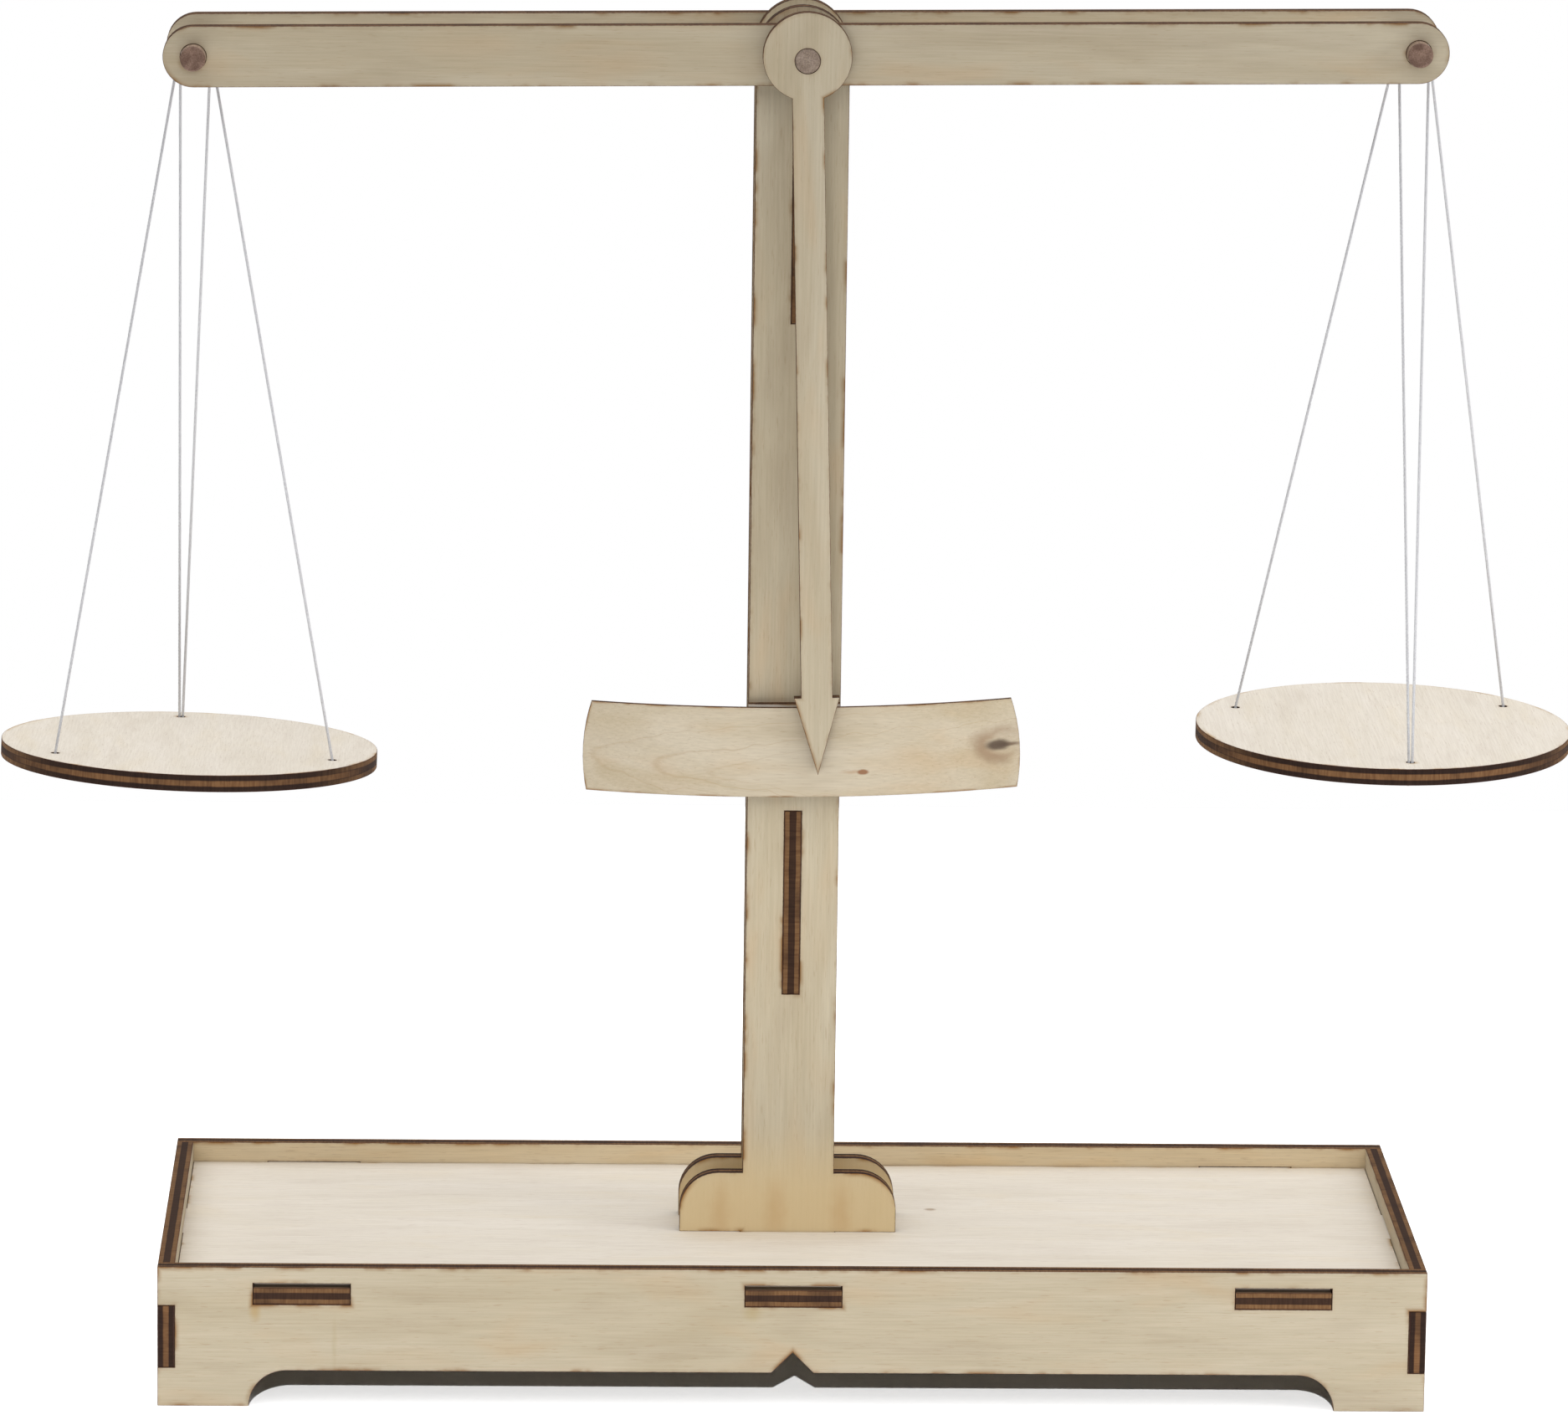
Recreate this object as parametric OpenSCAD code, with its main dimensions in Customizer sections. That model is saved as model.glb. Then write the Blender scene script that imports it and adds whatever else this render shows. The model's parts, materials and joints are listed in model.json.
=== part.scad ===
// Equal arm balance scale, cut from sheet plywood and hung on round dowels.
// Frame: +X to the right, +Y to the back, +Z up, origin under the middle of the base.
// All sizes are in millimetres.

/* [Sheet and dowel] */
// Thickness of the plywood sheet
ply_t = 4; // [3:0.5:6]
// Diameter of the three dowels
dowel_d = 6; // [5:0.5:8]
// Chamfer on the ends of each dowel
dowel_chamfer = 0.7; // [0.3:0.1:1.2]

/* [Base box] */
// Width of the base
base_w = 300; // [290:2:380]
// Depth of the base, front to back
base_d = 120; // [90:2:180]
// Height of the base
base_h = 34; // [32:1:50]
// Depth of the tray recess, from the rim down to the floor
tray_depth = 5; // [2:0.5:9]
// Width of each foot of the base
foot_w = 21.5; // [15:0.5:30]
// Height of the arch between the feet
arch_h = 8.8; // [4:0.2:10]
// Width of the vee notch in the middle of the long arches
vee_w = 10; // [6:1:20]
// Height of the vee notch above the arch
vee_h = 5; // [2:0.5:8]
// Height of the finger joint at each corner
finger_h = 15; // [8:0.5:18]
// Lower edge of the finger joint above the ground
finger_z = 9.5; // [9:0.5:12]
// Width of each tab of the tray floor
tab_w = 22.8; // [12:0.2:30]
// Distance of each outer floor tab's middle from the end of the base
tab_inset = 34; // [24:1:60]
// Extra height of the front floor slots above the floor tabs
slot_headroom = 1.1; // [0.2:0.1:1.5]

/* [Column] */
// Width of the column plates
column_w = 22; // [16:1:30]
// Height of the axle above the ground
axle_z = 315; // [280:1:400]
// How far the axle sits to the right of the middle of the column
axle_x = 0.8; // [-2:0.1:2]
// Gap between the two column plates
column_gap = 10.5; // [8:0.5:16]
// How far the column stands behind the middle of the base
column_y = 2; // [-5:0.5:5]
// How far the axle bore sits below the middle of each rounded head
bore_drop = 1; // [0:0.25:2]
// Width of the spread foot of the column plates
column_foot_w = 52.3; // [40:0.5:70]
// Height of the spread foot above the tray floor
column_foot_h = 14.7; // [10:0.5:25]
// Radius of the shoulders of the spread foot
shoulder_r = 9.3; // [4:0.5:10]
// Length of each rib tab along the column
rib_tab_l = 45; // [20:1:49]
// Lower edge of the lower rib tab above the tray floor
rib_low = 59.2; // [30:1:60]
// How far the lower edge of the upper rib tab sits below the axle
rib_high_drop = 63.5; // [62:0.5:90]

/* [Dial] */
// Width of the dial strip
dial_w = 105; // [96:1:130]
// Height of the dial strip
dial_h = 21.8; // [15:0.2:30]
// Thickness of the dial strip
dial_t = 1.2; // [0.8:0.1:2]
// Radius to which the strip is bowed
dial_bow_r = 138; // [90:2:220]
// Radius of the rounded ends of the strip
dial_end_r = 45; // [30:1:47]
// How far the widest place of the ends sits below the middle of the strip
dial_end_drop = 3; // [0:0.5:5]
// Lower edge of the dial above the ground
dial_z = 137.6; // [134:0.2:150]
// How far the dial is glued to the right of the middle
dial_shift = 2; // [-3:0.5:3]
// Angle by which the dial is glued with its right end up
dial_tilt = 0.8; // [-2:0.1:2]
// How far the spacer block stands above the dial
spacer_rise = 0.6; // [0:0.1:1.5]

/* [Beam] */
// Distance between the two hanger dowels
beam_span = 288; // [240:2:340]
// Height of the beam bars
bar_h = 14.4; // [11:0.2:20]
// Free play between the column and each beam bar
bar_play = 0.5; // [0.3:0.1:1.5]
// Angle by which the beam rests with its right end up
beam_tilt = 0.7; // [-1:0.1:1]
// How far a hanger dowel stands out in front of the beam
hanger_front = 4; // [1:0.5:8]
// How far a hanger dowel stands out behind the beam
hanger_back = 2; // [1:0.5:8]

/* [Pointer] */
// Thickness of the pointer
pointer_t = 3; // [2:0.5:4]
// Diameter of the pointer hub
hub_d = 21; // [14:0.5:24]
// Width of the pointer arm
arm_w = 7.5; // [5:0.5:9]
// Width of the arrowhead
head_w = 10.9; // [9.5:0.2:14]
// Length of the arrowhead
head_l = 18.9; // [12:0.1:26]
// Height of the tip above the lower edge of the dial
tip_rise = 6; // [2:0.1:12]
// Angle by which the pointer leans to the right of square with the beam
pointer_lean = 0.9; // [-2:0.1:2]
// Gap between the pointer and the front of the dial
pointer_gap = 0.4; // [0.3:0.1:1]
// How far the axle stands out in front of the pointer
axle_front = 0.3; // [0:0.1:3]
// How far the axle stands out behind the beam
axle_back = 2; // [1:0.5:8]

/* [Pans and strings] */
// Diameter of a pan
pan_d = 90; // [60:1:100]
// Thickness of a pan
pan_t = 4; // [3:0.5:6]
// Distance of the string holes from the rim of the pan
hole_inset = 7; // [4:0.5:12]
// Diameter of a string hole
string_hole_d = 2; // [1.8:0.1:3]
// Diameter of the thread
string_d = 0.7; // [0.5:0.1:0.8]
// Drop from the left hanger dowel to the left pan's face
left_drop = 167.3; // [120:0.1:175]
// Drop from the right hanger dowel to the right pan's face
right_drop = 164.3; // [120:0.1:175]
// Diameter of a stopper knot
knot_d = 2.4; // [2.4:0.1:4]
// Length of the thread's tail below a knot
tail_l = 0.5; // [0.5:0.5:8]

/* [Clearances] */
// Gap on each side of a tab in its slot
joint_gap = 0.1; // [0.05:0.05:0.2]
// Radial gap where a dowel is held fast
fixed_fit = 0.02; // [0.01:0.01:0.04]
// Radial gap where a dowel turns
running_fit = 0.08; // [0.04:0.01:0.1]
// Gap between the thread and the dowel it hangs on
thread_gap = 0.25; // [0.2:0.05:0.5]
// Gap between the bowed dial and its spacer block, filled with glue
glue_gap = 0.05; // [0.03:0.01:0.1]

/* [Hidden] */

// Facets of a full circle where a curve is seen.
round_fn = 96;
// How far a cutting shape runs past the face that it cuts.
over = 1;

// Colours of the wood and the thread.
sheet_colour = [0.84, 0.74, 0.58];
face_colour = [0.90, 0.83, 0.70];
dowel_colour = [0.74, 0.62, 0.54];
thread_colour = [0.93, 0.93, 0.92];

// Heights of the tray floor, and the middle of each outer floor tab.
floor_top = base_h - tray_depth;
floor_low = floor_top - ply_t;
tab_pitch = base_w / 2 - tab_inset;

// Front-to-back places, all worked out from the column's middle.
plate_y = column_gap / 2;
bar_y = plate_y + ply_t + bar_play;
bar_front = column_y - bar_y - ply_t;
bar_back = column_y + bar_y + ply_t;
pointer_front = bar_front - pointer_t;
dial_front = bar_front + pointer_gap;
column_front = column_y - plate_y - ply_t;

// The rib fills the gap between the plates and ends below the axle.
rib_d = column_gap;
rib_top = axle_z - dowel_d * 2;
rib_tabs_z = [floor_top + rib_low, axle_z - rib_high_drop];

// Where the dowels turn and hang.
axle_r = dowel_d / 2;
head_z = axle_z + bore_drop;
function on_beam_at(along, up) = [
    axle_x + along * cos(beam_tilt) - up * sin(beam_tilt),
    column_y,
    axle_z + along * sin(beam_tilt) + up * cos(beam_tilt)
];
pointer_l = head_z - dial_z - tip_rise;
left_hanger = on_beam_at(-beam_span / 2, bore_drop);
right_hanger = on_beam_at(beam_span / 2, bore_drop);

// Middle of each pan's upper face, and how the pan leans: about X, then about Y.
// The thread grips its dowel, so each pan comes to rest a little to the left of it.
left_pan_at = left_hanger - [1.5, 0, left_drop];
right_pan_at = right_hanger - [2.8, 0, right_drop];
left_pan_lean = [-2.5, 2, 0];
right_pan_lean = [1.5, 0.4, 0];

// Each pan hangs on three holes: the first carries the loop, the others the bridle.
left_hole_turn = 95.3;
right_hole_turn = -85.5;
hole_step = 120;

// The two strands of a loop pass side by side through one hole.
strand_r = string_d / 2;
strand_apart = string_d / 2 + 0.05;
// The bridle and the loop lie side by side on the dowel.
thread_side = 1.25;
thread_turn_r = axle_r + thread_gap + strand_r;
// Steps of the thread's turn over the dowel, and sides of its section.
turn_steps = 10;
thread_sides = 8;
knot_seat = sqrt(pow(knot_d / 2, 2) - pow(string_hole_d / 2, 2)) + 0.02;

// ---- Shapes that repeat ----

// A flat outline stood up to face the front, with its back at y.
module stand_front(y, t) {
    translate([0, y, 0]) rotate([90, 0, 0]) linear_extrude(t) children();
}

// A flat outline stood up to face the side, centred on x.
module stand_side(x, t) {
    translate([x - t / 2, 0, 0]) rotate([90, 0, 90]) linear_extrude(t) children();
}

// The opening between two feet of a panel of a given length.
module arch(length) {
    span = length - 2 * foot_w;
    difference() {
        translate([-span / 2, -over]) square([span, arch_h + over]);
        for (side = [-1, 1]) translate([side * (span / 2 - arch_h), 0]) difference() {
            translate([side > 0 ? 0 : -2 * arch_h, 0]) square(2 * arch_h);
            circle(arch_h, $fn = round_fn);
        }
    }
}

// The slot that one floor tab goes through, centred on x.
module floor_slot(x, headroom = joint_gap) {
    translate([x - tab_w / 2 - joint_gap, floor_low - joint_gap])
        square([tab_w + 2 * joint_gap, ply_t + joint_gap + headroom]);
}

// A dowel along Y with chamfered ends, from y0 to y1.
module dowel(y0, y1) {
    rotate([-90, 0, 0]) rotate_extrude($fn = round_fn) polygon([
        [0, y0], [axle_r - dowel_chamfer, y0], [axle_r, y0 + dowel_chamfer],
        [axle_r, y1 - dowel_chamfer], [axle_r - dowel_chamfer, y1], [0, y1]
    ]);
}

// Children are turned with the beam about the axle.
module on_beam(extra = 0) {
    translate([axle_x, 0, axle_z]) rotate([0, -beam_tilt - extra, 0]) children();
}

// ---- Base box ----

module long_panel(y, headroom = joint_gap) {
    stand_front(y, ply_t) difference() {
        translate([-base_w / 2, 0]) square([base_w, base_h]);
        arch(base_w);
        polygon([[-vee_w / 2, arch_h - over / 2], [vee_w / 2, arch_h - over / 2],
            [vee_w / 2, arch_h], [0, arch_h + vee_h], [-vee_w / 2, arch_h]]);
        for (x = [-tab_pitch, 0, tab_pitch]) floor_slot(x, headroom);
        for (side = [-1, 1]) translate([side * base_w / 2, finger_z + finger_h / 2])
            square([2 * (ply_t + joint_gap), finger_h + 2 * joint_gap], center = true);
    }
}

module front_panel() {
    color(sheet_colour) long_panel(-base_d / 2 + ply_t, slot_headroom);
}

module back_panel() {
    color(sheet_colour) long_panel(base_d / 2);
}

module end_panel(x) {
    inner = base_d - 2 * ply_t;
    stand_side(x, ply_t) difference() {
        union() {
            translate([-inner / 2, 0]) square([inner, base_h]);
            translate([-base_d / 2, finger_z]) square([base_d, finger_h]);
        }
        arch(base_d);
        floor_slot(0);
    }
}

module left_end_panel() {
    color(sheet_colour) end_panel(-(base_w - ply_t) / 2);
}

module right_end_panel() {
    color(sheet_colour) end_panel((base_w - ply_t) / 2);
}

module tray_floor() {
    inner_w = base_w - 2 * ply_t - 2 * joint_gap;
    inner_d = base_d - 2 * ply_t - 2 * joint_gap;
    color(face_colour) translate([0, 0, floor_low]) linear_extrude(ply_t) difference() {
        union() {
            square([inner_w, inner_d], center = true);
            for (x = [-tab_pitch, 0, tab_pitch]) translate([x, 0])
                square([tab_w, base_d], center = true);
            square([base_w, tab_w], center = true);
        }
        for (side = [-1, 1]) translate([0, column_y + side * (plate_y + ply_t / 2)])
            square([tab_w + 2 * joint_gap, ply_t + 2 * joint_gap], center = true);
    }
}

// ---- Column ----

// Outline of a column plate: tab, spread foot, shaft and round head.
module column_outline() {
    square_foot_h = column_foot_h - shoulder_r;
    translate([-tab_w / 2, floor_low]) square([tab_w, ply_t + over]);
    translate([-column_foot_w / 2, floor_top]) square([column_foot_w, square_foot_h]);
    intersection() {
        translate([-column_foot_w / 2, floor_top]) square([column_foot_w, column_foot_h]);
        union() {
            for (side = [-1, 1])
                translate([side * (column_foot_w / 2 - shoulder_r), floor_top + square_foot_h])
                    circle(shoulder_r, $fn = round_fn);
            translate([-column_foot_w / 2 + shoulder_r, floor_top])
                square([column_foot_w - 2 * shoulder_r, column_foot_h]);
        }
    }
    translate([-column_w / 2, floor_top]) square([column_w, head_z - floor_top]);
    translate([0, head_z]) circle(column_w / 2, $fn = round_fn);
}

module column_plate(y) {
    stand_front(y, ply_t) difference() {
        column_outline();
        translate([axle_x, axle_z]) circle(axle_r + running_fit, $fn = round_fn);
        for (z = rib_tabs_z) translate([-ply_t / 2 - joint_gap, z - joint_gap])
            square([ply_t + 2 * joint_gap, rib_tab_l + 2 * joint_gap]);
    }
}

module column_front_plate() {
    color(sheet_colour) column_plate(column_y - plate_y);
}

module column_back_plate() {
    color(sheet_colour) column_plate(column_y + plate_y + ply_t);
}

module column_rib() {
    color(sheet_colour) stand_side(0, ply_t) translate([column_y, 0]) union() {
        translate([-rib_d / 2, floor_top]) square([rib_d, rib_top - floor_top]);
        for (z = rib_tabs_z)
            translate([-rib_d / 2 - ply_t, z]) square([rib_d + 2 * ply_t, rib_tab_l]);
    }
}

// ---- Dial ----

// The dial's own frame: turned with it, the origin on its front face in its middle.
module on_dial() {
    translate([dial_shift, dial_front, dial_z + dial_h / 2]) rotate([0, -dial_tilt, 0]) children();
}

// A round bar along the height of the dial, about the middle of its bow.
module bow_bar(r, h) {
    translate([0, dial_bow_r, 0]) cylinder(r = r, h = h, center = true, $fn = 2 * round_fn);
}

module dial_spacer() {
    depth = column_front - dial_front;
    color(face_colour) on_dial() intersection() {
        translate([-column_w / 2 - dial_shift, 0, -dial_h / 2])
            cube([column_w, depth, dial_h + spacer_rise]);
        bow_bar(dial_bow_r - dial_t - glue_gap, 2 * dial_h);
    }
}

module dial_plate() {
    reach = dial_w / 2 - dial_end_r;
    color(sheet_colour) on_dial() intersection() {
        difference() {
            bow_bar(dial_bow_r, dial_h);
            bow_bar(dial_bow_r - dial_t, dial_h + 2 * over);
        }
        stand_front(dial_w / 4, dial_w / 2) translate([0, -dial_end_drop]) union() {
            for (side = [-1, 1]) translate([side * reach, 0]) intersection() {
                circle(dial_end_r, $fn = round_fn);
                translate([side * dial_end_r, 0]) square([2 * dial_end_r, 2 * dial_h], center = true);
            }
            square([2 * reach + over, 2 * dial_h], center = true);
        }
    }
}

// ---- Beam ----

module beam_bar(y) {
    on_beam() stand_front(y, ply_t) difference() {
        translate([0, bore_drop]) union() {
            square([beam_span, bar_h], center = true);
            for (side = [-1, 1]) translate([side * beam_span / 2, 0])
                circle(bar_h / 2, $fn = round_fn);
        }
        circle(axle_r + fixed_fit, $fn = round_fn);
        for (side = [-1, 1]) translate([side * beam_span / 2, bore_drop])
            circle(axle_r + running_fit, $fn = round_fn);
    }
}

module front_beam_bar() {
    color(sheet_colour) beam_bar(bar_front + ply_t);
}

module back_beam_bar() {
    color(sheet_colour) beam_bar(bar_back);
}

module beam_axle() {
    color(dowel_colour) translate([axle_x, 0, axle_z])
        dowel(pointer_front - axle_front, bar_back + axle_back);
}

module pointer() {
    shoulder = head_l - pointer_l;
    color(sheet_colour) on_beam(pointer_lean) stand_front(bar_front, pointer_t) difference() {
        translate([0, bore_drop]) union() {
            circle(hub_d / 2, $fn = round_fn);
            polygon([
                [-arm_w / 2, 0], [-arm_w / 2, shoulder], [-head_w / 2, shoulder], [0, -pointer_l],
                [head_w / 2, shoulder], [arm_w / 2, shoulder], [arm_w / 2, 0]
            ]);
        }
        circle(axle_r + fixed_fit, $fn = round_fn);
    }
}

// ---- Hangers, pans and strings ----

module hanger_dowel(at) {
    color(dowel_colour) translate([at.x, 0, at.z])
        dowel(bar_front - hanger_front, bar_back + hanger_back);
}

module left_hanger_dowel() {
    hanger_dowel(left_hanger);
}

module right_hanger_dowel() {
    hanger_dowel(right_hanger);
}

// A point of a pan, counted from the middle of its face, when the pan leans.
function tip_x(p, a) = [p.x, p.y * cos(a) - p.z * sin(a), p.y * sin(a) + p.z * cos(a)];
function tip_y(p, a) = [p.x * cos(a) + p.z * sin(a), p.y, p.z * cos(a) - p.x * sin(a)];
function on_pan(p, at, lean) = at + tip_y(tip_x(p, lean.x), lean.y);
function hole(i, turn) =
    (pan_d / 2 - hole_inset) * [cos(turn + i * hole_step), sin(turn + i * hole_step), 0];

module pan(at, lean, turn) {
    color(face_colour) translate(at) rotate(lean) translate([0, 0, -pan_t]) difference() {
        cylinder(d = pan_d, h = pan_t, $fn = 2 * round_fn);
        for (i = [0:2]) translate(hole(i, turn) - [0, 0, over])
            cylinder(d = string_hole_d, h = pan_t + 2 * over, $fn = 24);
    }
}

// The two ends of a strand in its hole: the tail below the knot, and the face of the pan.
function strand(foot, at, lean) = [
    on_pan(foot - [0, 0, pan_t + knot_seat + knot_d / 2 + tail_l], at, lean),
    on_pan(foot, at, lean)
];

// How far the strand slopes to the front or the back, for each unit that it drops.
function slope(foot, peg, y) = (foot.y - y) / (peg.z - foot.z);

// Angle at which a strand from a foot leaves the dowel, measured from +X.
function leave(foot, peg, side) =
    let (dx = side * (foot.x - peg.x), dz = peg.z - foot.z, far = norm([dx, dz]))
    acos(thread_turn_r / far) - atan2(dz, dx);

// The thread's route: up from foot a, over the dowel and down to foot b.
function route(a, b, peg, y, at, lean) =
    let (
        low = strand(a, at, lean), high = strand(b, at, lean),
        from = 180 - leave(low[1], peg, -1), to = leave(high[1], peg, 1),
        slope_a = slope(low[1], peg, y), slope_b = slope(high[1], peg, y)
    )
    concat(low, [for (i = [0:turn_steps])
        let (
            t = i / turn_steps, angle = from + (to - from) * t,
            rise = thread_turn_r * sin(angle)
        )
        [peg.x + thread_turn_r * cos(angle), y - rise * (slope_a + (slope_b - slope_a) * t), peg.z + rise]
    ], [high[1], high[0]]);

// One closed tube along a route that never runs along Y.
function unit(v) = v / norm(v);
function heading(p, i) = unit(p[min(i + 1, len(p) - 1)] - p[max(i - 1, 0)]);
function ring(p, i) =
    let (ahead = heading(p, i), side = unit(cross(ahead, [0, 1, 0])), up = cross(side, ahead))
    [for (k = [0:thread_sides - 1]) let (a = k * 360 / thread_sides)
        p[i] + strand_r * (cos(a) * side + sin(a) * up)];

module tube(p) {
    last = len(p) - 1;
    n = thread_sides;
    points = [for (i = [0:last]) each ring(p, i)];
    sides = [for (i = [0:last - 1], k = [0:n - 1])
        [i * n + k, i * n + (k + 1) % n, (i + 1) * n + (k + 1) % n, (i + 1) * n + k]];
    ends = [[for (k = [n - 1:-1:0]) k], [for (k = [0:n - 1]) last * n + k]];
    polyhedron(points, concat(sides, ends));
}

module bridle_string(peg, at, lean, turn) {
    a = hole(turn > 0 ? 1 : 2, turn);
    b = hole(turn > 0 ? 2 : 1, turn);
    color(thread_colour)
        tube(route(a, b, peg, peg.y - sign(turn) * thread_side, at, lean));
}

module loop_string(peg, at, lean, turn) {
    a = hole(0, turn);
    color(thread_colour)
        tube(route(a - [strand_apart, 0, 0], a + [strand_apart, 0, 0], peg,
            peg.y + sign(turn) * thread_side, at, lean));
}

module knots(at, lean, turn) {
    color(thread_colour) translate(at) rotate(lean) for (i = [0:2])
        translate(hole(i, turn) - [0, 0, pan_t + knot_seat]) difference() {
            sphere(d = knot_d, $fn = 32);
            cylinder(r = strand_r + (i == 0 ? strand_apart : 0), h = 2 * knot_d, center = true, $fn = 24);
        }
}

module left_pan() {
    pan(left_pan_at, left_pan_lean, left_hole_turn);
}

module left_bridle_string() {
    bridle_string(left_hanger, left_pan_at, left_pan_lean, left_hole_turn);
}

module left_loop_string() {
    loop_string(left_hanger, left_pan_at, left_pan_lean, left_hole_turn);
}

module left_knots() {
    knots(left_pan_at, left_pan_lean, left_hole_turn);
}

module right_pan() {
    pan(right_pan_at, right_pan_lean, right_hole_turn);
}

module right_bridle_string() {
    bridle_string(right_hanger, right_pan_at, right_pan_lean, right_hole_turn);
}

module right_loop_string() {
    loop_string(right_hanger, right_pan_at, right_pan_lean, right_hole_turn);
}

module right_knots() {
    knots(right_pan_at, right_pan_lean, right_hole_turn);
}

front_panel();
back_panel();
left_end_panel();
right_end_panel();
tray_floor();
column_front_plate();
column_back_plate();
column_rib();
dial_spacer();
dial_plate();
front_beam_bar();
back_beam_bar();
beam_axle();
pointer();
left_hanger_dowel();
right_hanger_dowel();
left_pan();
left_bridle_string();
left_loop_string();
left_knots();
right_pan();
right_bridle_string();
right_loop_string();
right_knots();
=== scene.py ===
# %% [markdown]
# # An equal arm balance scale
# The real scale is a flat kit: parts are cut from a 4 mm sheet of birch plywood with a laser, pushed
# together with tabs and slots, and hung on three round dowels. Two round pans hang on thin twisted thread.
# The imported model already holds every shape, size and joint, so this lesson only gives it its looks: it
# reads places and sizes from that frame and never moves a part of it.

import json
import math

import bmesh
import bpy
from mathutils import Euler, Matrix, Vector


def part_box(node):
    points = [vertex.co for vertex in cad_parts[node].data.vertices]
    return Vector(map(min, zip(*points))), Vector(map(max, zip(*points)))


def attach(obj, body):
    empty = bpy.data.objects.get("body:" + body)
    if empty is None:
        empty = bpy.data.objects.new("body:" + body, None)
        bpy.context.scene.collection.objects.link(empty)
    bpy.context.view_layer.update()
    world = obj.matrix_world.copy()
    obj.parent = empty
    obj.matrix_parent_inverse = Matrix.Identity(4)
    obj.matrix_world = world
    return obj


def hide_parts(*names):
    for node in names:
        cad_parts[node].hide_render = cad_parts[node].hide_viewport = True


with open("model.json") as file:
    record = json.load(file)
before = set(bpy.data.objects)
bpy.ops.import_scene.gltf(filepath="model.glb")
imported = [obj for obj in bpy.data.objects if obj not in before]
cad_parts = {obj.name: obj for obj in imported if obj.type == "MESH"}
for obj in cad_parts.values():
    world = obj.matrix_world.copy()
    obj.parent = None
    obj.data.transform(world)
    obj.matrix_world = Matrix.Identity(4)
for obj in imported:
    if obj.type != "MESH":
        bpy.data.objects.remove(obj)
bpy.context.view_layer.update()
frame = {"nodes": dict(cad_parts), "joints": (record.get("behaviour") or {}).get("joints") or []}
MM = 0.001

# %% [markdown]
# ## Camera
# A long lens from about two metres keeps the sides of the base almost parallel.
# The camera could be aimed with a Track To constraint, but three plain turns (to the right, down, and a
# slight roll) say exactly how it is held, so its matrix is built from them.

# %% Camera
CAMERA_PLACE = Vector((-64.1, -2046.1, 585.1)) * MM
CAMERA_RIGHT = math.radians(1.73)
CAMERA_DOWN = math.radians(11.81)
CAMERA_ROLL = math.radians(0.77)
LENS_MM = 200.2

camera_data = bpy.data.cameras.new("long_lens")
camera_data.sensor_width = 36
camera_data.lens = LENS_MM
camera = bpy.data.objects.new("camera", camera_data)
bpy.context.scene.collection.objects.link(camera)
camera.matrix_world = (
    Matrix.Translation(CAMERA_PLACE)
    @ Matrix.Rotation(-CAMERA_RIGHT, 4, "Z")
    @ Matrix.Rotation(math.pi / 2 - CAMERA_DOWN, 4, "X")
    @ Matrix.Rotation(CAMERA_ROLL, 4, "Z")
)
bpy.context.scene.camera = camera
print("camera", round(CAMERA_PLACE.length, 2), "m from the middle of the base")

# %% [markdown]
# ## The threads
# Each pan hangs on two lengths of twisted thread that are laid over the hanger dowel. One, the bridle,
# holds two holes of the pan; the other, the loop, goes down and up again through the third hole. Every end
# has a stopper knot under the pan, with its tail tucked in. A curve with a plain round bevel would be
# simpler, but the lay of the strands shows even from afar, so a lobed section is swept along the route and
# turned as it goes.

# %% Where the threads run
DOWEL_R = 3.0
THREAD_D = 0.7
THREAD_GAP = 0.25
THREAD_SIDE = 1.25
STRAND_APART = 0.4
PAN_T = 4.0
HOLE_R = 38.0
HOLE_STEP = 120
KNOT_SEAT = 0.683
TAIL_BELOW = 1.0
TURN_STEPS = 10
TURN_R = DOWEL_R + THREAD_GAP + THREAD_D / 2

joints = {joint["name"]: Vector(joint["pos_m"]) / MM for joint in frame["joints"]}
PANS = {
    "left": {"sway": Vector((-1.5, 0, -167.3)), "lean": (-2.5, 2.0), "turn": 95.3, "bridle": (1, 2)},
    "right": {"sway": Vector((-2.8, 0, -164.3)), "lean": (1.5, 0.4), "turn": -85.5, "bridle": (2, 1)},
}
for side, pan in PANS.items():
    pan["peg"] = joints[side + "_hanger_turn"]
    pan["face"] = pan["peg"] + pan["sway"]
    pan["tilt"] = Euler((math.radians(pan["lean"][0]), math.radians(pan["lean"][1]), 0)).to_matrix()
    print(side, "pan's face in mm:", [round(v, 1) for v in pan["face"]])


def hole(pan, number):
    """A hole of a pan, counted from the middle of its face."""
    angle = math.radians(pan["turn"] + number * HOLE_STEP)
    return Vector((math.cos(angle), math.sin(angle), 0)) * HOLE_R


def on_pan(pan, point):
    return pan["face"] + pan["tilt"] @ point


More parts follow.
